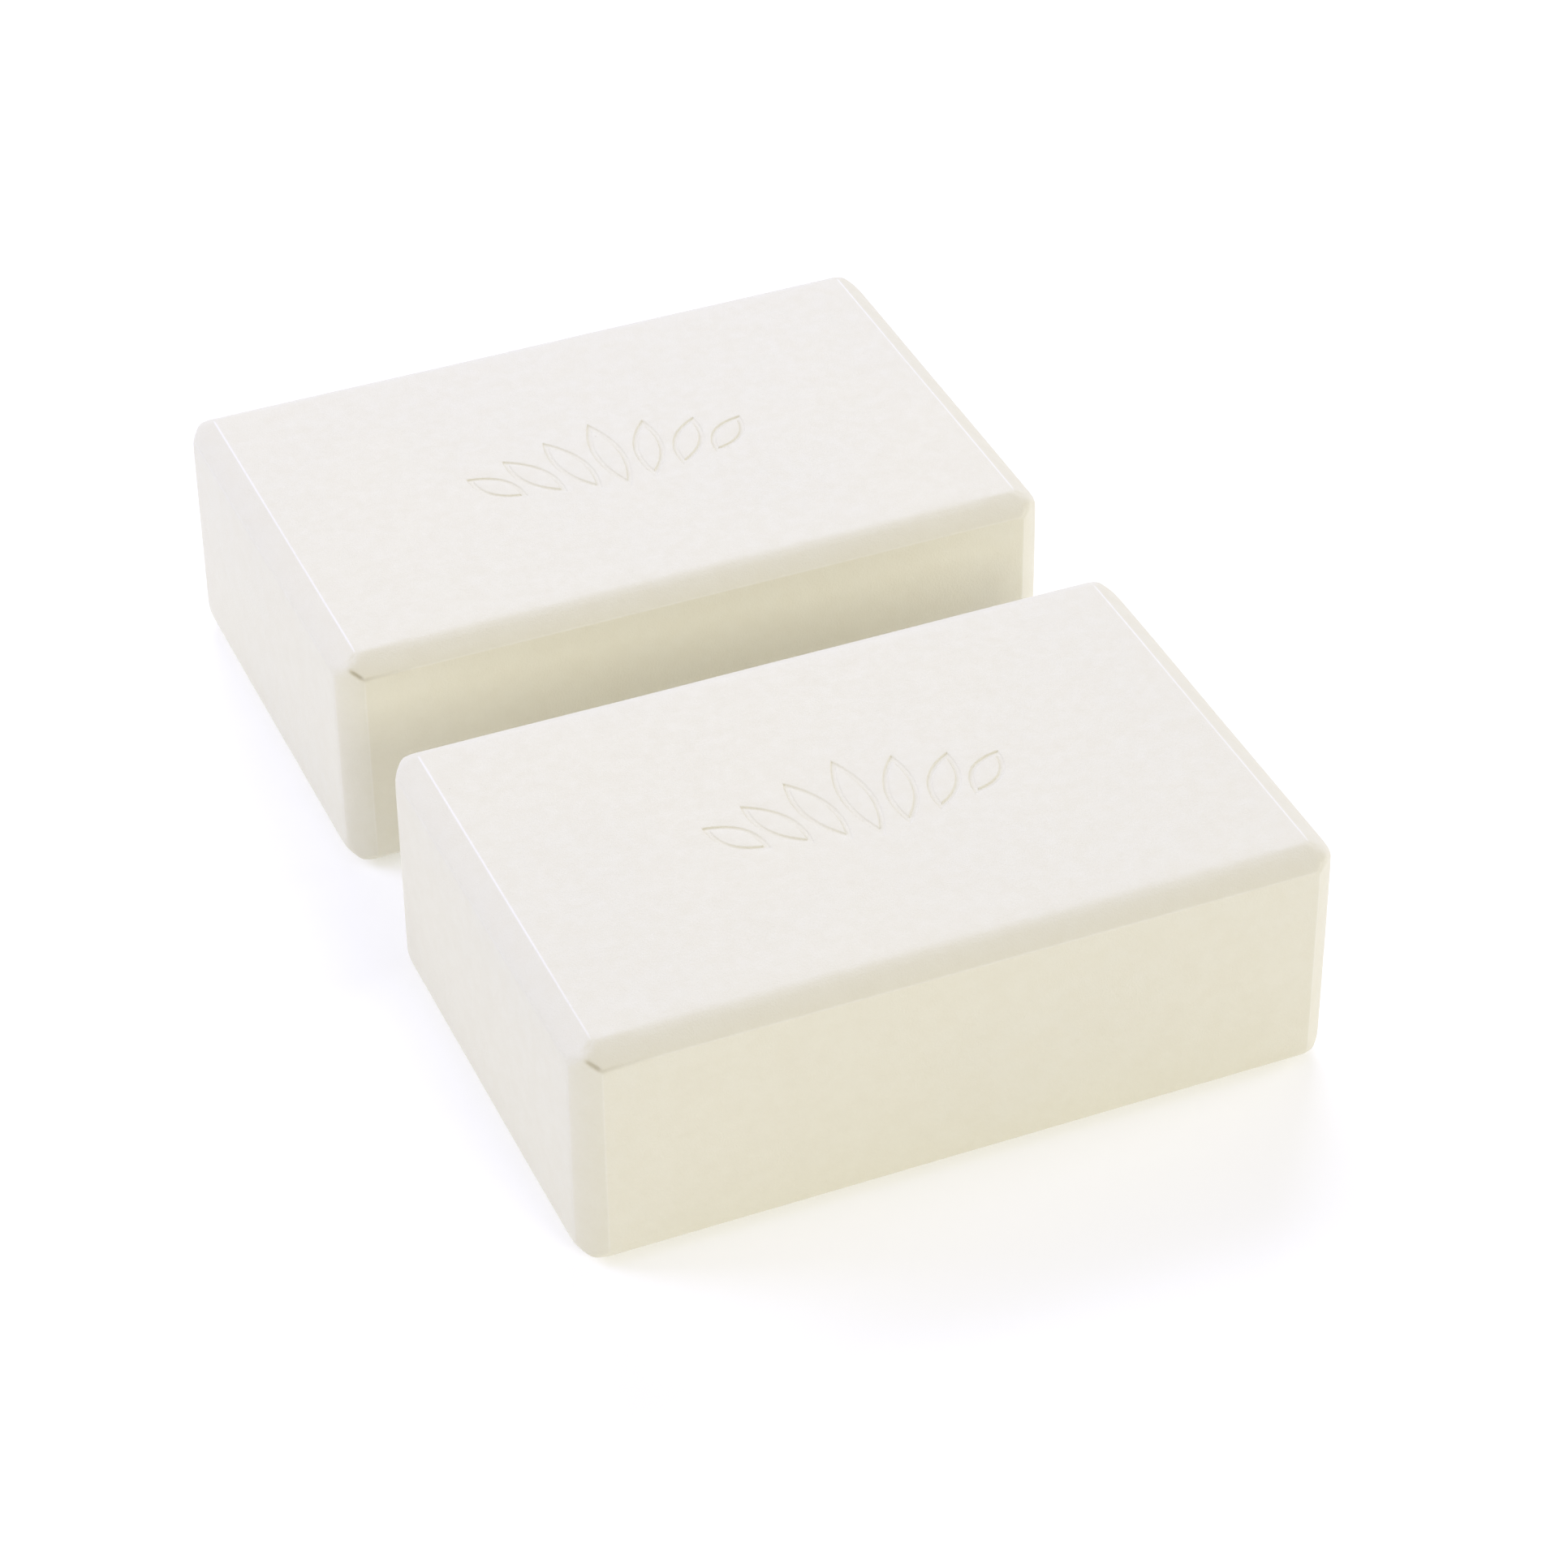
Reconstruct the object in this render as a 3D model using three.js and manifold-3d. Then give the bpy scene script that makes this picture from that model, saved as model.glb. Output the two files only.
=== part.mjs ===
// A pair of closed-cell foam exercise blocks, lying flat side by side.
//
// Each block is one moulded piece of foam: a long box whose twelve edges carry a gently rounded
// bevel, with a row of leaf outlines pressed a little way into its top.
//
// Sizes are in millimetres. X runs along the long side, Y from the front block to the rear one,
// and Z is up. The origin lies on the floor, midway between the two blocks.

import * as THREE from 'three';
import { mergeVertices } from 'three/addons/utils/BufferGeometryUtils.js';
import Module from 'manifold-3d';

const wasm = await Module();
wasm.setup();

// The block
const blockLength = 228.6;
const blockWidth = 152.4;
const blockHeight = 76.2;

// Its bevels: how far each runs back from an upright edge or across the top and the base, how far
// it drops down a side, and how far it bows out in its middle
const bevelRun = 7.4;
const bevelDrop = 5.2;
const bevelBulge = 0.5;
const bevelSteps = 6;

// How the pair lies
const gapBetweenBlocks = 40;

// The pressed ornament: a row of leaves, tallest in the middle and leaning outwards
const leavesEachSide = 3;
const middleLeafLength = 34;
const leafShortening = 5;
const leafDrop = 1.2;
const leafWidth = 8;
const leafClearance = 3.2;
const leafLean = THREE.MathUtils.degToRad(14);
const leafSteps = 8;
const grooveWidth = 1.6;
const grooveDepth = 0.6;
const leafPitch = leafWidth + grooveWidth + leafClearance;

const foam = {
  color: 0xede8dc,
  roughness: 0.8,
  metalness: 0,
};

// Returns the solid that a closed geometry bounds.
function solidOf(geometry) {
  geometry.deleteAttribute('normal');
  geometry.deleteAttribute('uv');
  const merged = mergeVertices(geometry);
  return new wasm.Manifold(new wasm.Mesh({
    numProp: 3,
    vertProperties: merged.attributes.position.array,
    triVerts: new Uint32Array(merged.index.array),
  }));
}

// Returns the geometry of a solid's surface.
function geometryOf(solid) {
  const mesh = solid.getMesh();
  const geometry = new THREE.BufferGeometry();
  geometry.setAttribute('position', new THREE.BufferAttribute(mesh.vertProperties, mesh.numProp));
  geometry.setIndex(new THREE.BufferAttribute(mesh.triVerts, 1));
  geometry.computeVertexNormals();
  return geometry;
}

// A rectangle about the origin whose corners are bevelled by runX across and runY up. Each bevel
// is a curve that bows outwards: its control point stands off the middle of the flat bevel by
// twice the bulge, square to it.
function bevelledRectangle(width, height, runX, runY) {
  const x = width / 2;
  const y = height / 2;
  const standOff = 2 * bevelBulge / Math.hypot(runX, runY);
  const controlX = x - runX / 2 + standOff * runY;
  const controlY = y - runY / 2 + standOff * runX;
  const outline = new THREE.Shape();
  outline.moveTo(x, y - runY);
  outline.quadraticCurveTo(controlX, controlY, x - runX, y);
  outline.lineTo(runX - x, y);
  outline.quadraticCurveTo(-controlX, controlY, -x, y - runY);
  outline.lineTo(-x, runY - y);
  outline.quadraticCurveTo(-controlX, -controlY, runX - x, -y);
  outline.lineTo(x - runX, -y);
  outline.quadraticCurveTo(controlX, -controlY, x, runY - y);
  return outline;
}

// An outline drawn out along Z, both ways, far enough to pass right through the block.
function longPrism(outline) {
  const depth = blockLength + blockWidth + blockHeight;
  const geometry = new THREE.ExtrudeGeometry(outline, {
    depth,
    curveSegments: bevelSteps,
    bevelEnabled: false,
  });
  return geometry.translate(0, 0, -depth / 2);
}

// The block before its ornament is pressed in, about its own centre: what three prisms share, one
// along each axis, so that all twelve edges are bevelled and the bevels meet at the corners.
function plainBlock() {
  const fromAbove = bevelledRectangle(blockLength, blockWidth, bevelRun, bevelRun);
  const fromFront = bevelledRectangle(blockLength, blockHeight, bevelRun, bevelDrop);
  const fromEnd = bevelledRectangle(blockWidth, blockHeight, bevelRun, bevelDrop);
  const alongZ = longPrism(fromAbove);
  const alongY = longPrism(fromFront).rotateX(Math.PI / 2);
  const alongX = longPrism(fromEnd).rotateX(Math.PI / 2).rotateZ(Math.PI / 2);
  return solidOf(alongZ).intersect(solidOf(alongY)).intersect(solidOf(alongX));
}

// A leaf about the origin, pointed at both ends, drawn on a shape or on the path of a hole.
function drawLeaf(path, length, width) {
  path.moveTo(0, -length / 2);
  path.quadraticCurveTo(width, 0, 0, length / 2);
  path.quadraticCurveTo(-width, 0, 0, -length / 2);
  return path;
}

// A groove of even width that follows a leaf's outline, reaching from its floor to above the top.
function leafGroove(length) {
  const endHalfAngle = Math.atan(2 * leafWidth / length);
  const lengthMargin = grooveWidth / Math.sin(endHalfAngle);
  const ring = drawLeaf(new THREE.Shape(), length + lengthMargin, leafWidth + grooveWidth);
  const inside = drawLeaf(new THREE.Path(), length - lengthMargin, leafWidth - grooveWidth);
  ring.holes.push(inside);
  return new THREE.ExtrudeGeometry(ring, {
    depth: 2 * grooveDepth,
    curveSegments: leafSteps,
    bevelEnabled: false,
  });
}

// The block with its ornament pressed into the top, about its own centre.
function foamBlock() {
  let block = plainBlock();
  for (let place = -leavesEachSide; place <= leavesEachSide; place += 1) {
    const fromMiddle = Math.abs(place);
    const groove = leafGroove(middleLeafLength - leafShortening * fromMiddle);
    groove.rotateZ(-leafLean * place);
    groove.translate(leafPitch * place, -leafDrop * fromMiddle, blockHeight / 2 - grooveDepth);
    block = block.subtract(solidOf(groove));
  }
  return geometryOf(block);
}

// One block of the pair, on the floor on its own side of the gap.
function placedBlock(name, side) {
  const block = new THREE.Mesh(foamBlock(), new THREE.MeshStandardMaterial(foam));
  block.name = name;
  block.position.set(0, side * (blockWidth + gapBetweenBlocks) / 2, blockHeight / 2);
  return block;
}

const pair = new THREE.Group();
pair.add(placedBlock('front_block', -1));
pair.add(placedBlock('rear_block', 1));

export default pair;
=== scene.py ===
"""A loose pair of closed-cell foam exercise blocks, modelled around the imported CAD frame.

Each block is one moulded piece of foam. Its mesh is a fine grid on the six sides of a box, drawn
onto a smooth outer surface: flat sides with a slight crown, bowed bevels, and softened creases.
A row of leaf outlines is pressed into the top, in a patch of its own inside the top grid.
Lengths are in metres, in the CAD frame: X along the blocks, Y from front to rear, Z up.
"""

import math

import bmesh
import bpy
import numpy as np
from mathutils import Matrix, Vector, geometry


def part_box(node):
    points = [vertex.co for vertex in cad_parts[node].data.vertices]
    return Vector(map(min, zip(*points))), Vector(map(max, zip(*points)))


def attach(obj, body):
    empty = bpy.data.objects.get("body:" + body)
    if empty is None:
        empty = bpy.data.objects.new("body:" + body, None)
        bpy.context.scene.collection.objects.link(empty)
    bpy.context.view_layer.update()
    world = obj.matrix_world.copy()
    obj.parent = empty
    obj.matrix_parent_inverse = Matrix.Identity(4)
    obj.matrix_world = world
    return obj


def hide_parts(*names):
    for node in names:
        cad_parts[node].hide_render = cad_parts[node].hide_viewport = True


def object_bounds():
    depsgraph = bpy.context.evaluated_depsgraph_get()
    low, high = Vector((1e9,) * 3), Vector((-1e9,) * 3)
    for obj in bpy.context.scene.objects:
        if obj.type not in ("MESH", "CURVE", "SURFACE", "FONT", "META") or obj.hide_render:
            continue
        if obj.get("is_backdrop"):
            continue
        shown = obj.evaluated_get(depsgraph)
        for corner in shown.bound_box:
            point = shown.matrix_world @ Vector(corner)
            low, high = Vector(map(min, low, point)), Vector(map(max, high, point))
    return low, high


MM = 0.001
BLOCKS = ("front_block", "rear_block")
FIRST_SEED = 11

# The block's outer surface
BEVEL_RUN = 7.4 * MM
BEVEL_DROP = 5.2 * MM
BEVEL_BULGE = 0.5 * MM
BEVEL_LEGS = np.array([BEVEL_RUN, BEVEL_RUN, BEVEL_DROP])
END_CROWN = 0.45 * MM
SIDE_CROWN = 0.3 * MM
TOP_CROWN = 0.12 * MM
# How sharply two sides or bevels meet: higher is sharper
CRISP = 7 / MM
SOFTER = 3 / MM
SOFT = 2 / MM
ROUND_CORNER = 1.3 / MM
# Where one gives way to the next: distances in from a side, in runs of a bevel
OFF_A_BEVEL = (0.3, 0.8)
AT_AN_UPRIGHT = (0.2, 0.7)
PAST_A_CORNER = (0, 2)
AROUND_A_CORNER = (0.8, 1.7)
# Where the sharpness of the top's creases sets in, up from mid height, in half heights
UP_TO_THE_TOP = (0, 0.5)
# A fine bead runs along each crease, plainest along the top's ends; the same mark paints a
# highlight along the creases
BEAD_HEIGHT = 0.06 * MM
BEAD_WIDTH = 0.26 * MM
END_CREASE = 1.0
SIDE_CREASE = 0.05
OTHER_CREASE = 0.3
# The short fold at the front left top corner, and the faint line that it dies away in
CORNER = np.array([-1, -1, 1])
FOLD_DEPTH = 0.3 * MM
FOLD_WIDTH = 0.55 * MM
FOLD_OPENS = (0, 0.4)
FOLD_CLOSES = (0.7, 1)
FOLD_TAIL = 16 * MM
FOLD_TAIL_SHARE = 0.35
FOLD_POINTS = 40
# Gentle waves, which start from nothing at the floor
WAVINESS = 0.07 * MM
WAVE_LENGTH = 70 * MM
WAVE_LENGTH_SPREAD = (0.7, 1.6)
WAVE_START = 10 * MM
WAVES = 9
# How a point is moved onto the surface
SLOPE_STEP = 0.01 * MM
SETTLE_ROUNDS = 6

# The grid that carries it: wide steps on the flat, fine ones by a crease and over a bevel
FLAT_STEP = 3 * MM
CREASE_STEPS = (0.0, 0.15 * MM, 0.32 * MM, 0.55 * MM, 0.9 * MM, 1.5 * MM)
STEPS_PAST_CREASE = 3
BEVEL_STEPS = 20
SEAM_WELD = 0.002 * MM

# The ornament, as in the CAD, with its grooves a little shallower: foam rounds them off
LEAVES_EACH_SIDE = 3
MIDDLE_LEAF = 34 * MM
LEAF_SHORTENING = 5 * MM
LEAF_DROP = 1.2 * MM
LEAF_WIDTH = 8 * MM
LEAF_CLEARANCE = 3.2 * MM
LEAF_LEAN = math.radians(14)
GROOVE_WIDTH = 1.6 * MM
GROOVE_DEPTH = 0.45 * MM
LEAF_PITCH = LEAF_WIDTH + GROOVE_WIDTH + LEAF_CLEARANCE
LEAF_POINTS = 96
# The patch of finer mesh that carries it
PATCH_MARGIN = 4 * MM
PATCH_REACH_X = LEAF_PITCH * LEAVES_EACH_SIDE + LEAF_WIDTH + PATCH_MARGIN
PATCH_REACH_Y = MIDDLE_LEAF / 2 + PATCH_MARGIN
GROOVE_MARGIN = 1 * MM
# Across the groove: how far out from its middle line, as a share of its width, and how deep
GROOVE_SECTION = (
    (0.68, 0.0), (0.59, 0.05), (0.52, 0.19), (0.45, 0.48), (0.39, 0.79), (0.32, 0.95), (0.22, 1.0),
)
# How the patch is triangulated: Blender's number for keeping only what lies inside the rim, and
# how near two points are to be one
INSIDE_THE_RIM = 1
SAME_POINT = 1e-9

# The foam's colours, linear
FOAM_COLOUR = (0.822, 0.793, 0.644)
FOAM_COOLER = (0.812, 0.787, 0.650)
# Deeper tone for the mottle, and the painted shade in the grooves
FOAM_DEEPER_AND_GROOVE_SHADE = (0.793, 0.758, 0.604)
# Painted highlight along the creases
PAINTED_CREASE_HIGHLIGHT = (0.965, 0.950, 0.895)
# Painted shade in the fold at the front left top corner
PAINTED_FOLD_SHADE = (0.400, 0.350, 0.210)
# Painted shade in the pinholes
PAINTED_PINHOLE_SHADE = (0.520, 0.460, 0.340)
# Its patterns, in repeats to the metre
BROAD_SCALE = 9
MOTTLE_SCALE = 160
SHEEN_SCALE = 300
SKIN_SCALE = 420
GRAIN_SCALE = 2100
HOLE_SCALE = 260
# The part of a noise's range that a pattern uses
BROAD_SPAN = (0.35, 0.65)
FINE_SPAN = (0.3, 0.7)
# How fully each pattern or mark takes its own colour
MOTTLE_SHARE = 0.5
CREASE_HIGHLIGHT_SHARE = 0.85
GROOVE_SHADE_SHARE = 0.1
FOLD_SHADE_SHARE = 0.9
PINHOLE_SHADE_SHARE = 0.7
# Burst cells: how rare they are, and how large in their own cell
HOLE_RARITY = 0.93
HOLE_SIZE = 0.05
HOLE_EDGE = 0.05
# Gloss
ROUGHNESS = (0.58, 0.68)
CREASE_POLISH = 0.12
FOAM_IOR = 1.46
# Bumps: how deep, and how strong
SKIN_BUMP = (0.12 * MM, 0.3)
GRAIN_BUMP = (0.12 * MM, 0.6)
HOLE_BUMP = (0.25 * MM, 0.8)

# The studio
FLOOR_SIZE = 12
FLOOR_COLOUR = (0.75, 0.75, 0.75)
FLOOR_ROUGHNESS = 0.9
FLOOR_GLOW_COLOUR = (1.0, 1.0, 0.99)
FLOOR_GLOW = 0.335
SKY_COLOUR = (1.0, 0.93, 0.82)
SKY_STRENGTH = 0.387
# Name, where it is, where it looks, size, power, colour
SOFT_BOXES = (
    ("overhead", (-0.3, -0.6, 2.4), (0, 0, 0), 2.8, 18, (0.80, 0.82, 1.0)),
    ("behind", (1.35, 3.3, 2.7), (0, 0, 0.04), 2.4, 108, (0.68, 0.72, 1.0)),
    ("left", (-2.66, 1.75, 1.82), (0, 0, 0.04), 2.0, 74, (0.64, 0.68, 1.0)),
    ("front", (0.75, -3.3, 1.65), (0, 0, 0.04), 1.2, 31.5, (1.0, 0.99, 0.93)),
    ("right", (1.9, -0.1, 0.45), (0, -0.1, 0.04), 0.6, 9, (0.80, 0.82, 1.0)),
)

# The camera: angles in degrees, round from the front and up from the floor, and its lens and
# sensor in millimetres
CAMERA_AZIMUTH = 22.58
CAMERA_ELEVATION = 37.08
CAMERA_ROLL = -0.64
CAMERA_DISTANCE = 1.421
CAMERA_LENS = 110.55
CAMERA_SENSOR = 36
# From the middle of the pair to where it looks
CAMERA_AIM = (1.9 * MM, -37.8 * MM, 1.9 * MM)


def smooth_noise(points, seed):
    """A gentle sum of sine waves in random directions, between about -1 and 1, at each point."""
    draw = np.random.default_rng(seed)
    total = np.zeros(len(points))
    for _ in range(WAVES):
        direction = draw.normal(size=3)
        direction /= np.linalg.norm(direction)
        length = WAVE_LENGTH * draw.uniform(*WAVE_LENGTH_SPREAD)
        total += np.sin(points @ direction * 2 * math.pi / length + draw.uniform(0, 2 * math.pi))
    return total / math.sqrt(WAVES)


def ease(value, low, high):
    """0 below low, 1 above high, and a smooth step between."""
    share = np.clip((value - low) / (high - low), 0, 1)
    return share * share * (3 - 2 * share)


class BlockSurface:
    """The outer surface of a block about its own centre, as a smooth function that is 0 on it.

    Insets are distances in from the three pairs of sides. Stretched upwards by the ratio of the
    bevels' legs, every bevel is one and the same arc between a run and a run.
    """

    def __init__(self, size, seed):
        self.half = np.array(size) / 2
        self.seed = seed
        self.stretch = BEVEL_RUN / BEVEL_LEGS
        mid = BEVEL_RUN / 2 - BEVEL_BULGE / math.sqrt(2)
        self.mid = mid / self.stretch
        self.arc_centre = (BEVEL_RUN**2 - 2 * mid**2) / (2 * BEVEL_RUN - 4 * mid)
        self.arc_radius = math.sqrt(2) * (self.arc_centre - mid)

    def crown(self, points):
        """How far each of the three pairs of sides swells out in its middle, at each point."""
        share = np.clip(1 - (points / self.half) ** 2, 0, 1)
        end = END_CROWN * share[:, 1] * share[:, 2]
        side = SIDE_CROWN * share[:, 0] * share[:, 2]
        top = TOP_CROWN * share[:, 0] * share[:, 1] * (points[:, 2] > 0)
        return np.stack([end, side, top], axis=1)

    def sharpness(self, points):
        """How sharply the sides and bevels meet at each point: crisp, soft, or round at corners."""
        runs = (self.half - np.abs(points)) * self.stretch / BEVEL_RUN
        off_sides = ease(runs[:, 1], *OFF_A_BEVEL)
        upper = ease(points[:, 2] / self.half[2], *UP_TO_THE_TOP)
        along_top = upper * off_sides * ease(runs[:, 0] - runs[:, 1], *PAST_A_CORNER)
        up_end = off_sides * (1 - ease(runs[:, 0], *AT_AN_UPRIGHT))
        corner = 1 - ease(runs.max(axis=1), *AROUND_A_CORNER)
        sharp = CRISP + (SOFTER - CRISP) * up_end
        sharp += (SOFT - sharp) * along_top
        return sharp + (ROUND_CORNER - sharp) * corner

    def value(self, points):
        """Below 0 inside, 0 on the surface, and above 0 outside, in metres."""
        inset = self.half - np.abs(points)
        terms = [-(inset + self.crown(points))[:, axis] for axis in range(3)]
        near = self.arc_centre - np.minimum(inset * self.stretch, self.arc_centre)
        for a, b in ((0, 1), (0, 2), (1, 2)):
            terms.append(np.hypot(near[:, a], near[:, b]) - self.arc_radius)
        stacked = np.stack(terms)
        highest = stacked.max(axis=0)
        sharp = self.sharpness(points)
        spread = np.exp(sharp * (stacked - highest)).sum(axis=0)
        return highest + np.log(spread) / sharp

    def gradient(self, points):
        """Which way, and how fast, the value rises at each point."""
        parts = []
        for move in SLOPE_STEP * np.eye(3):
            rise = self.value(points + move) - self.value(points - move)
            parts.append(rise / (2 * SLOPE_STEP))
        return np.stack(parts, axis=1)

    def crease(self, points):
        """How plainly each point shows the line where a bevel meets a side, from 0 to 1.

        Each such line lies on one pair of sides, a leg in from another pair. It sets the bead's
        height, and the material paints a highlight along it by the same amount.
        """
        inset = self.half - np.abs(points)
        mark = np.zeros(len(points))
        for leg, side in ((0, 1), (0, 2), (1, 0), (1, 2), (2, 0), (2, 1)):
            away = np.hypot(inset[:, leg] - BEVEL_LEGS[leg], inset[:, side])
            plain = {(0, 2): END_CREASE, (1, 2): SIDE_CREASE}.get((leg, side), OTHER_CREASE)
            mark = np.maximum(mark, plain * np.exp(-((away / BEAD_WIDTH) ** 2)))
        return mark

    def fold(self, points):
        """How deep each point is in the short fold at the front left top corner, from 0 to 1.

        It follows the ridge between two bevels to the front side, then dies away along it. The
        material darkens the fold by the same amount with painted shade.
        """
        start = (self.half - self.mid) * CORNER
        bend = (self.half - np.array([BEVEL_RUN, 0, BEVEL_DROP])) * CORNER
        end = bend + np.array([FOLD_TAIL, 0, 0])
        way = np.linspace(0, 1, FOLD_POINTS)
        ridge = np.linspace(start, bend, FOLD_POINTS)
        tail = np.linspace(bend, end, FOLD_POINTS)
        path = self.onto(np.concatenate([ridge, tail]))
        closing = (1 - FOLD_TAIL_SHARE) * ease(way, *FOLD_CLOSES)
        along_ridge = ease(way, *FOLD_OPENS) * (1 - closing)
        strength = np.concatenate([along_ridge, FOLD_TAIL_SHARE * (1 - way)])
        deepest = np.zeros(len(points))
        for stop, share in zip(path, strength):
            away = np.linalg.norm(points - stop, axis=1)
            deepest = np.maximum(deepest, share * np.exp(-((away / FOLD_WIDTH) ** 2)))
        return deepest

    def onto(self, points):
        """Moves points that are near the surface onto it."""
        for _ in range(SETTLE_ROUNDS):
            slope = self.gradient(points)
            points = points - slope * (self.value(points) / (slope**2).sum(axis=1))[:, None]
        return points

    def settle(self, points):
        """Moves points onto the surface, then adds its beads, its fold and gentle waves."""
        points = self.onto(points)
        outward = self.gradient(points)
        outward /= np.linalg.norm(outward, axis=1)[:, None]
        wave = WAVINESS * smooth_noise(points, self.seed)
        wave *= np.clip((points[:, 2] + self.half[2]) / WAVE_START, 0, 1)
        height = BEAD_HEIGHT * self.crease(points) - FOLD_DEPTH * self.fold(points) + wave
        return points + outward * height[:, None]


def stations(half, leg, mid):
    """Grid lines across one side, from the middle of one bevel to the middle of the other."""
    crease = half - leg
    flat_end = crease - CREASE_STEPS[-1]
    count = 2 * round(flat_end / FLAT_STEP)
    flat = np.linspace(-flat_end, flat_end, count + 1)
    before = [crease - step for step in reversed(CREASE_STEPS[:-1])]
    after = [crease + step for step in CREASE_STEPS[1 : 1 + STEPS_PAST_CREASE]]
    over = list(np.linspace(after[-1], half - mid, BEVEL_STEPS)[1:])
    edge = np.array(before + after + over)
    return np.concatenate([-edge[::-1], flat, edge])


def side_grid(surface, axis, sign):
    """One side's grid, bowed over its bevels: points, rows of cells, and its lines both ways."""
    half = surface.half
    others = [a for a in range(3) if a != axis]
    u, v = (stations(half[a], BEVEL_LEGS[a], surface.mid[a]) for a in others)
    grid_u, grid_v = np.meshgrid(u, v, indexing="ij")
    points = np.zeros((grid_u.size, 3))
    points[:, others[0]] = grid_u.ravel()
    points[:, others[1]] = grid_v.ravel()
    inset = half - np.abs(points)
    fall = np.zeros(len(points))
    for other in others:
        over = surface.arc_centre - inset[:, other] * surface.stretch[other]
        over = np.clip(over, 0, surface.arc_radius)
        drop = surface.arc_centre - np.sqrt(surface.arc_radius**2 - over**2)
        drop = np.where(inset[:, other] < BEVEL_LEGS[other], drop / surface.stretch[axis], 0)
        fall = np.maximum(fall, drop)
    points[:, axis] = sign * (half[axis] - fall)
    index = np.arange(grid_u.size).reshape(grid_u.shape)
    cells = np.stack([index[:-1, :-1], index[1:, :-1], index[1:, 1:], index[:-1, 1:]], axis=-1)
    return points, cells, u, v


def leaf_outline(length, width):
    """Points round a leaf about the origin, pointed at both ends."""
    along = np.linspace(-0.5, 0.5, LEAF_POINTS // 2 + 1)
    right = np.stack([width / 2 * (1 - 4 * along**2), length * along], axis=1)
    left = np.stack([-right[:, 0], right[:, 1]], axis=1)[::-1]
    return np.concatenate([right[:-1], left[:-1]])


def leaf_rings():
    """Each leaf's groove as a list of rings, outermost first: (points, depth)."""
    leaves = []
    for place in range(-LEAVES_EACH_SIDE, LEAVES_EACH_SIDE + 1):
        length = MIDDLE_LEAF - LEAF_SHORTENING * abs(place)
        half_angle = math.atan(2 * LEAF_WIDTH / length)
        lean = -LEAF_LEAN * place
        turn = np.array([[math.cos(lean), math.sin(lean)], [-math.sin(lean), math.cos(lean)]])
        middle = np.array([LEAF_PITCH * place, -LEAF_DROP * abs(place)])
        rings = []
        inner = [(-share, depth) for share, depth in reversed(GROOVE_SECTION)]
        for share, depth in list(GROOVE_SECTION) + inner:
            out = share * GROOVE_WIDTH
            ring = leaf_outline(length + 2 * out / math.sin(half_angle), LEAF_WIDTH + 2 * out)
            rings.append((ring @ turn + middle, depth * GROOVE_DEPTH))
        leaves.append(rings)
    return leaves


def ornament_patch(edge_u, edge_v):
    """The middle of the top: a flat patch with the grooves, as (points, depth, faces).

    edge_u and edge_v are the top grid's lines across it, so that its rim meets the grid.
    """
    points, depths, edges = [], [], []

    def loop(ring, depth):
        first = len(points)
        points.extend(ring)
        depths.extend([depth] * len(ring))
        edges.extend((first + i, first + (i + 1) % len(ring)) for i in range(len(ring)))

    rim = [(x, edge_v[0]) for x in edge_u[:-1]] + [(edge_u[-1], y) for y in edge_v[:-1]]
    rim += [(x, edge_v[-1]) for x in edge_u[:0:-1]] + [(edge_u[0], y) for y in edge_v[:0:-1]]
    loop(rim, 0.0)
    leaves = leaf_rings()
    for rings in leaves:
        for ring, depth in rings:
            loop(ring, depth)
    outer = [rings[0][0] for rings in leaves]
    inner = [rings[-1][0] for rings in leaves]
    for x in edge_u[1:-1]:
        for y in edge_v[1:-1]:
            if clear_of(np.array([x, y]), outer, inner):
                points.append((x, y))
                depths.append(0.0)
    region = [list(range(len(rim)))]
    flat = [Vector(point) for point in points]
    made = geometry.delaunay_2d_cdt(flat, edges, region, INSIDE_THE_RIM, SAME_POINT)
    placed, faces, sources = made[0], made[2], made[3]
    depth = [max(depths[i] for i in source) if source else 0.0 for source in sources]
    return np.array([list(point) for point in placed]), np.array(depth), [list(f) for f in faces]


def clear_of(point, outer, inner):
    """True where a point is well clear of every groove, outside the leaves or in one."""
    nearest = min(np.hypot(*(ring - point).T).min() for ring in outer + inner)
    if nearest < GROOVE_MARGIN:
        return False
    in_groove = any(inside(point, o) and not inside(point, i) for o, i in zip(outer, inner))
    return not in_groove


def inside(point, ring):
    """True where a point is inside a closed ring of points."""
    a, b = ring, np.roll(ring, -1, axis=0)
    crosses = (a[:, 1] > point[1]) != (b[:, 1] > point[1])
    with np.errstate(divide="ignore", invalid="ignore"):
        at = a[:, 0] + (point[1] - a[:, 1]) * (b[:, 0] - a[:, 0]) / (b[:, 1] - a[:, 1])
    return bool((crosses & (point[0] < at)).sum() % 2)


def patch_span(lines, reach):
    """Which of the top grid's lines bound the cells that the patch takes, as a slice of them."""
    middles = (lines[:-1] + lines[1:]) / 2
    cells = np.flatnonzero(np.abs(middles) < reach)
    return slice(cells[0], cells[-1] + 2)


def top_with_patch(surface, cells, u, v):
    """The top grid's cells with a hole in them, and the patch that fills it: points and depths."""
    span_u, span_v = patch_span(u, PATCH_REACH_X), patch_span(v, PATCH_REACH_Y)
    kept = np.ones(cells.shape[:2], bool)
    kept[span_u.start : span_u.stop - 1, span_v.start : span_v.stop - 1] = False
    flat, depth, patch_cells = ornament_patch(u[span_u], v[span_v])
    patch = surface.settle(np.column_stack([flat, np.full(len(flat), surface.half[2])]))
    patch[:, 2] -= depth
    return cells[kept], patch, depth, patch_cells


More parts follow.
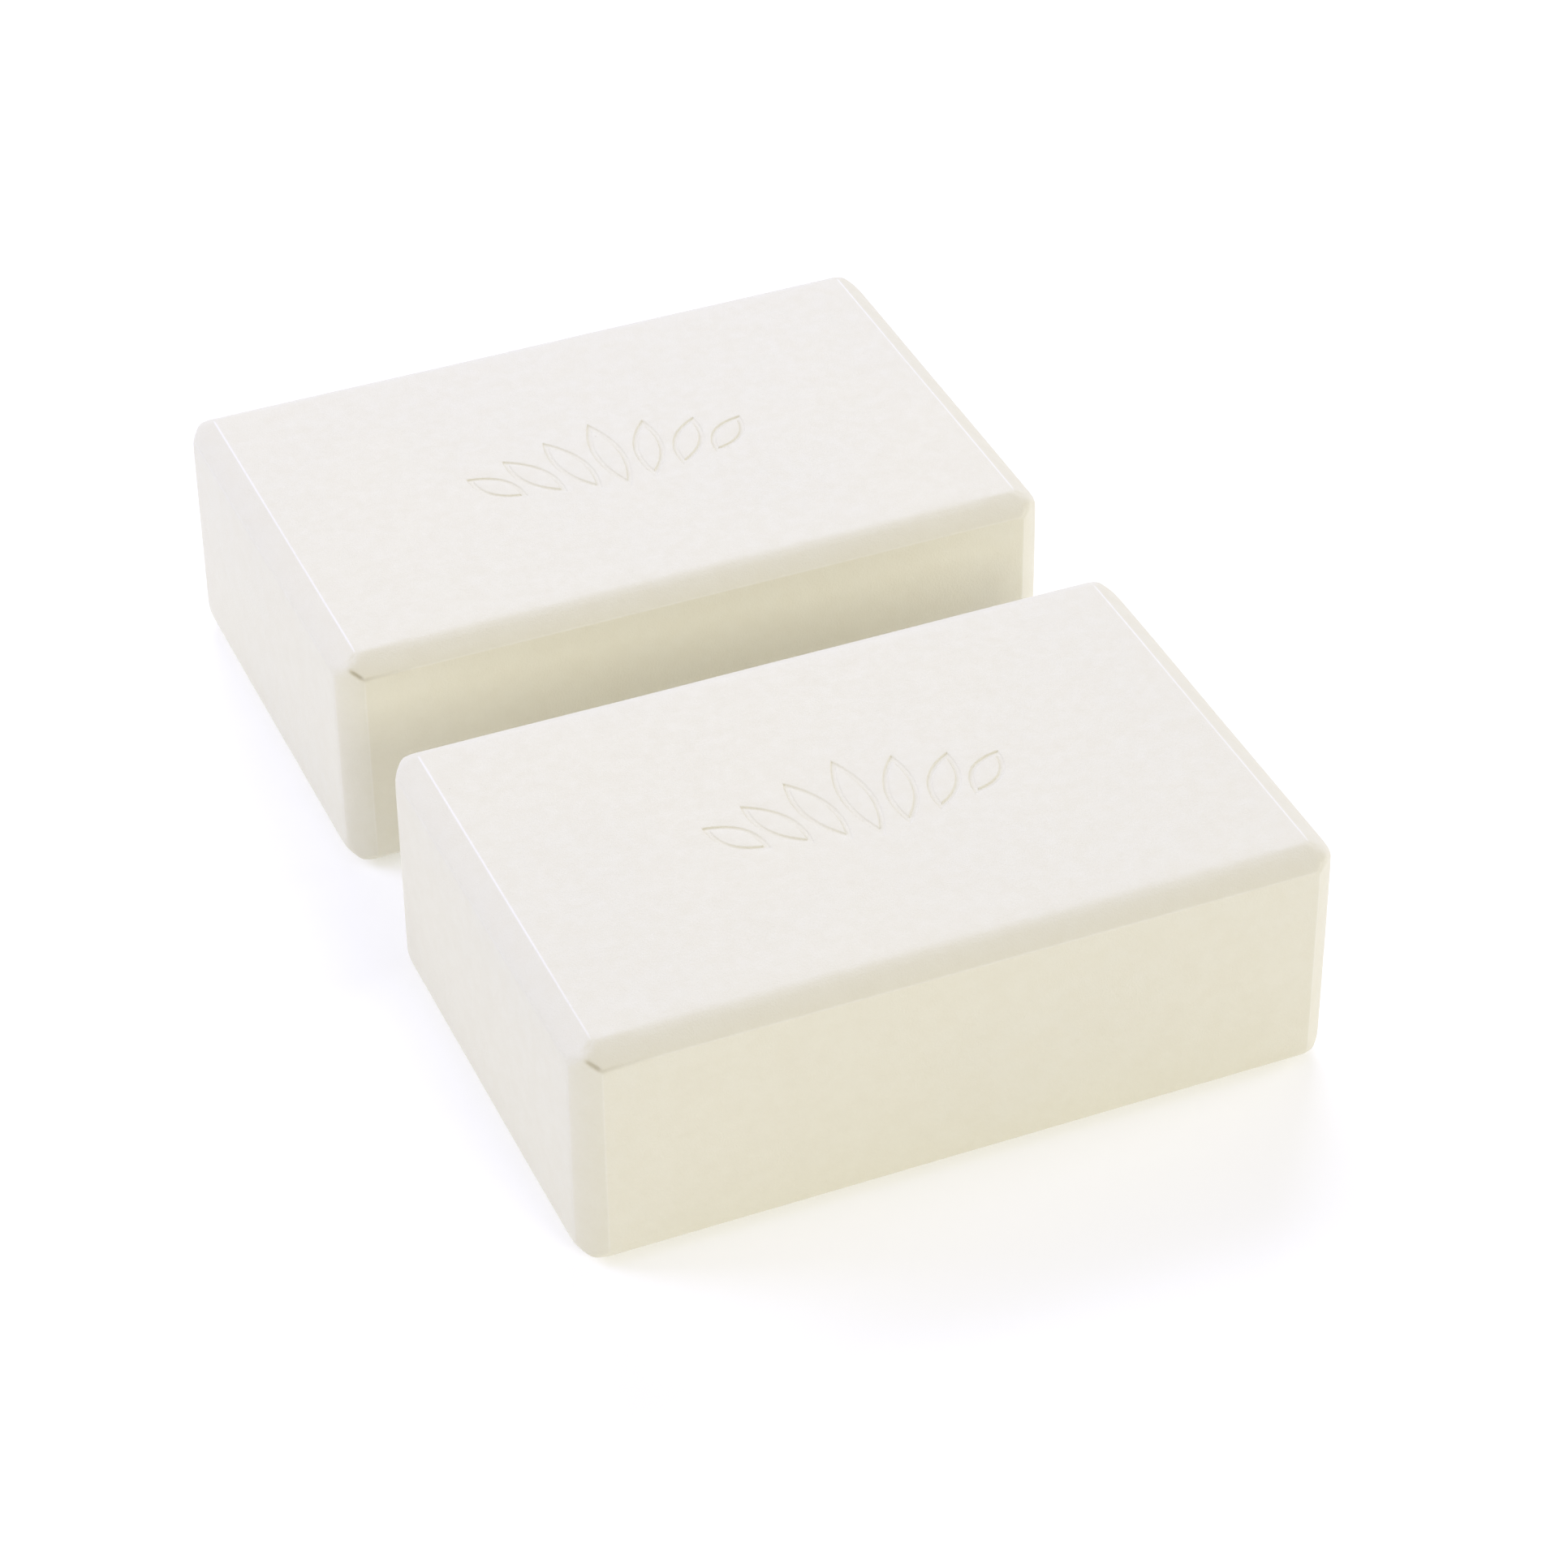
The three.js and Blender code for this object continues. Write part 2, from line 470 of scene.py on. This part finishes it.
def build_block(node, seed):
    """The mesh of one block, where its CAD node is."""
    low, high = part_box(node)
    surface = BlockSurface(np.array(high - low), seed)
    points, faces, depths = [], [], []

    def add(new_points, new_faces, depth):
        first = sum(len(part) for part in points)
        points.append(new_points)
        depths.append(depth)
        faces.extend([first + corner for corner in face] for face in new_faces)

    for axis in range(3):
        for sign in (-1, 1):
            side, cells, u, v = side_grid(surface, axis, sign)
            add_patch = axis == 2 and sign > 0
            if add_patch:
                cells, patch, patch_depth, patch_cells = top_with_patch(surface, cells, u, v)
            add(surface.settle(side), cells.reshape(-1, 4).tolist(), np.zeros(len(side)))
            if add_patch:
                add(patch, patch_cells, patch_depth)
    placed = np.concatenate(points)
    # What the material reads: the grooves' depth and the fold, darkened with painted shade, and the
    # creases, lightened with a painted highlight
    marked = {
        "groove": np.concatenate(depths) / GROOVE_DEPTH,
        "crease": surface.crease(placed),
        "fold": surface.fold(placed),
    }
    return make_mesh(node, placed + np.array((low + high) / 2), faces, marked)


def make_mesh(node, points, faces, marked):
    """A welded, smooth-shaded Blender object, with what its material reads as attributes."""
    mesh = bpy.data.meshes.new(f"{node}_foam")
    mesh.from_pydata(points.tolist(), [], faces)
    for name, values in marked.items():
        attribute = mesh.attributes.new(name, "FLOAT", "POINT")
        attribute.data.foreach_set("value", values.astype(np.float32))
    work = bmesh.new()
    work.from_mesh(mesh)
    loose = [v for v in work.verts if not v.link_faces]
    bmesh.ops.delete(work, geom=loose, context="VERTS")
    bmesh.ops.remove_doubles(work, verts=work.verts, dist=SEAM_WELD)
    bmesh.ops.recalc_face_normals(work, faces=work.faces)
    for face in work.faces:
        face.smooth = True
    work.to_mesh(mesh)
    work.free()
    block = bpy.data.objects.new(f"{node}_foam", mesh)
    bpy.context.scene.collection.objects.link(block)
    return block


class Nodes:
    """A material's node tree, with short ways to add and wire what the foam needs."""

    def __init__(self, material):
        material.use_nodes = True
        self.tree = material.node_tree
        self.shader = self.tree.nodes["Principled BSDF"]
        self.place = self.add("ShaderNodeTexCoord").outputs["Object"]

    def add(self, kind, **settings):
        node = self.tree.nodes.new(kind)
        for name, value in settings.items():
            setattr(node, name, value)
        return node

    def wire(self, source, target):
        self.tree.links.new(source, target)

    def noise(self, scale, detail=2.0, roughness=0.5):
        node = self.add("ShaderNodeTexNoise")
        self.wire(self.place, node.inputs["Vector"])
        node.inputs["Scale"].default_value = scale
        node.inputs["Detail"].default_value = detail
        node.inputs["Roughness"].default_value = roughness
        return node.outputs["Fac"]

    def cells(self, scale, feature="F1", output="Distance"):
        node = self.add("ShaderNodeTexVoronoi", feature=feature)
        self.wire(self.place, node.inputs["Vector"])
        node.inputs["Scale"].default_value = scale
        return node.outputs[output]

    def attribute(self, name):
        return self.add("ShaderNodeAttribute", attribute_name=name).outputs["Fac"]

    def ramp(self, value, from_low, from_high, to_low, to_high):
        """Maps one range of a value smoothly to another, and holds it at the ends."""
        node = self.add("ShaderNodeMapRange", interpolation_type="SMOOTHSTEP")
        self.wire(value, node.inputs["Value"])
        for socket, number in zip(
            ("From Min", "From Max", "To Min", "To Max"), (from_low, from_high, to_low, to_high)
        ):
            node.inputs[socket].default_value = number
        return node.outputs["Result"]

    def maths(self, operation, a, b):
        node = self.add("ShaderNodeMath", operation=operation)
        for socket, value in zip(node.inputs, (a, b)):
            if isinstance(value, (int, float)):
                socket.default_value = value
            else:
                self.wire(value, socket)
        return node.outputs["Value"]

    def blend(self, share, first, second):
        """Mixes two colours, each an RGB triple or a socket, by a share that is a socket."""
        node = self.add("ShaderNodeMix", data_type="RGBA")
        self.wire(share, node.inputs["Factor"])
        for socket, colour in ((node.inputs["A"], first), (node.inputs["B"], second)):
            if isinstance(colour, tuple):
                socket.default_value = (*colour, 1)
            else:
                self.wire(colour, socket)
        return node.outputs["Result"]

    def bump(self, height, depth, strength, normal=None):
        node = self.add("ShaderNodeBump")
        node.inputs["Strength"].default_value = strength
        node.inputs["Distance"].default_value = depth
        self.wire(height, node.inputs["Height"])
        if normal is not None:
            self.wire(normal, node.inputs["Normal"])
        return node.outputs["Normal"]


def pinholes(nodes):
    """1 at the middle of a few tiny burst cells, scattered over the foam, and 0 elsewhere."""
    chosen = nodes.ramp(nodes.cells(HOLE_SCALE, output="Color"), HOLE_RARITY, 1, 0, 1)
    spot = nodes.ramp(nodes.cells(HOLE_SCALE), 0, HOLE_SIZE, 1, 0)
    return nodes.maths("MULTIPLY", spot, nodes.ramp(chosen, 0, HOLE_EDGE, 0, 1))


def foam_colour(nodes, crease, holes):
    """The foam's off-white, in two broad tones and a fine mottle, with a painted highlight along
    the creases and painted shade in the grooves, the fold and the pinholes.
    """
    broad = nodes.ramp(nodes.noise(BROAD_SCALE, detail=3), *BROAD_SPAN, 0, 1)
    mottle = nodes.ramp(nodes.noise(MOTTLE_SCALE, detail=4, roughness=0.6), *FINE_SPAN, 0, 1)
    colour = nodes.blend(broad, FOAM_COLOUR, FOAM_COOLER)
    for pattern, share, its_colour in (
        (mottle, MOTTLE_SHARE, FOAM_DEEPER_AND_GROOVE_SHADE),
        # Painted highlight along the creases
        (crease, CREASE_HIGHLIGHT_SHARE, PAINTED_CREASE_HIGHLIGHT),
        # Painted shade in the grooves, darker where they are deeper
        (nodes.attribute("groove"), GROOVE_SHADE_SHARE, FOAM_DEEPER_AND_GROOVE_SHADE),
        # Painted shade in the fold
        (nodes.attribute("fold"), FOLD_SHADE_SHARE, PAINTED_FOLD_SHADE),
        # Painted shade in the pinholes
        (holes, PINHOLE_SHADE_SHARE, PAINTED_PINHOLE_SHADE),
    ):
        colour = nodes.blend(nodes.maths("MULTIPLY", pattern, share), colour, its_colour)
    return colour


def foam_roughness(nodes, crease):
    """Uneven, and smoother along the creases."""
    rough = nodes.ramp(nodes.noise(SHEEN_SCALE, detail=3), *FINE_SPAN, *ROUGHNESS)
    return nodes.maths("SUBTRACT", rough, nodes.maths("MULTIPLY", crease, CREASE_POLISH))


def foam_bumps(nodes, holes):
    """An uneven skin, the fine grain of the cells, and the burst cells as pits."""
    skin = nodes.bump(nodes.noise(SKIN_SCALE, detail=3), *SKIN_BUMP)
    grain = nodes.bump(nodes.cells(GRAIN_SCALE, feature="SMOOTH_F1"), *GRAIN_BUMP, skin)
    return nodes.bump(nodes.maths("SUBTRACT", 1, holes), *HOLE_BUMP, grain)


def foam_material():
    """Matte closed-cell foam: warm off-white, faintly mottled, with fine grain and a few pinholes.

    Its creases are smoother, and paler with a painted highlight; the grooves, the fold and the
    pinholes are darker with painted shade.
    """
    material = bpy.data.materials.new("foam")
    nodes = Nodes(material)
    holes = pinholes(nodes)
    crease = nodes.attribute("crease")
    nodes.wire(foam_colour(nodes, crease, holes), nodes.shader.inputs["Base Color"])
    nodes.wire(foam_roughness(nodes, crease), nodes.shader.inputs["Roughness"])
    nodes.wire(foam_bumps(nodes, holes), nodes.shader.inputs["Normal"])
    nodes.shader.inputs["IOR"].default_value = FOAM_IOR
    return material


def soft_light(name, at, towards, size, power, colour):
    """A square area light that looks from one point at another."""
    lamp = bpy.data.lights.new(name, "AREA")
    lamp.shape = "SQUARE"
    lamp.size = size
    lamp.energy = power
    lamp.color = colour
    holder = bpy.data.objects.new(name, lamp)
    holder.location = at
    holder.rotation_euler = (Vector(towards) - Vector(at)).to_track_quat("-Z", "Y").to_euler()
    holder.visible_camera = False
    bpy.context.scene.collection.objects.link(holder)


def white_floor():
    """A plain white floor, a little brighter than the light on it alone would make it."""
    mesh = bpy.data.meshes.new("floor")
    reach = FLOOR_SIZE / 2
    corners = [(-reach, -reach, 0), (reach, -reach, 0), (reach, reach, 0), (-reach, reach, 0)]
    mesh.from_pydata(corners, [], [(0, 1, 2, 3)])
    floor = bpy.data.objects.new("floor", mesh)
    bpy.context.scene.collection.objects.link(floor)
    paint = bpy.data.materials.new("floor_white")
    paint.use_nodes = True
    shader = paint.node_tree.nodes["Principled BSDF"]
    shader.inputs["Base Color"].default_value = (*FLOOR_COLOUR, 1)
    shader.inputs["Roughness"].default_value = FLOOR_ROUGHNESS
    shader.inputs["Specular IOR Level"].default_value = 0
    shader.inputs["Emission Color"].default_value = (*FLOOR_GLOW_COLOUR, 1)
    shader.inputs["Emission Strength"].default_value = FLOOR_GLOW
    mesh.materials.append(paint)
    floor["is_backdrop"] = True


def studio():
    """Soft, even light all round, with large soft boxes that model the sides."""
    white_floor()
    world = bpy.data.worlds.new("studio")
    world.use_nodes = True
    background = world.node_tree.nodes["Background"]
    background.inputs["Color"].default_value = (*SKY_COLOUR, 1)
    background.inputs["Strength"].default_value = SKY_STRENGTH
    bpy.context.scene.world = world
    for light in SOFT_BOXES:
        soft_light(*light)


def camera():
    """The view of the pair from the front left, from above."""
    low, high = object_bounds()
    aim = (low + high) / 2 + Vector(CAMERA_AIM)
    azimuth, elevation = math.radians(CAMERA_AZIMUTH), math.radians(CAMERA_ELEVATION)
    forward = Vector((
        math.sin(azimuth) * math.cos(elevation),
        math.cos(azimuth) * math.cos(elevation),
        -math.sin(elevation),
    ))
    data = bpy.data.cameras.new("camera")
    data.sensor_width = CAMERA_SENSOR
    data.lens = CAMERA_LENS
    holder = bpy.data.objects.new("camera", data)
    holder.matrix_world = (
        Matrix.Translation(aim - forward * CAMERA_DISTANCE)
        @ forward.to_track_quat("-Z", "Y").to_matrix().to_4x4()
        @ Matrix.Rotation(math.radians(CAMERA_ROLL), 4, "Z")
    )
    bpy.context.scene.collection.objects.link(holder)
    bpy.context.scene.camera = holder


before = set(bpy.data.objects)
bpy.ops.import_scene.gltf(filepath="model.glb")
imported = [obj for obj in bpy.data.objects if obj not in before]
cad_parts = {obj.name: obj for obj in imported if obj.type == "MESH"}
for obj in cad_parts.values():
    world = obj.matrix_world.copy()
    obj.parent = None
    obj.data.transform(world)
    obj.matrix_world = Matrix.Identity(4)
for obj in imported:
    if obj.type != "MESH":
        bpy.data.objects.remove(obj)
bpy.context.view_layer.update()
camera()
studio()
foam = foam_material()
for number, node in enumerate(BLOCKS):
    block = build_block(node, seed=FIRST_SEED + number)
    block.data.materials.append(foam)
    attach(block, node)
    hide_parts(node)

bpy.context.scene.view_settings.view_transform = "Standard"
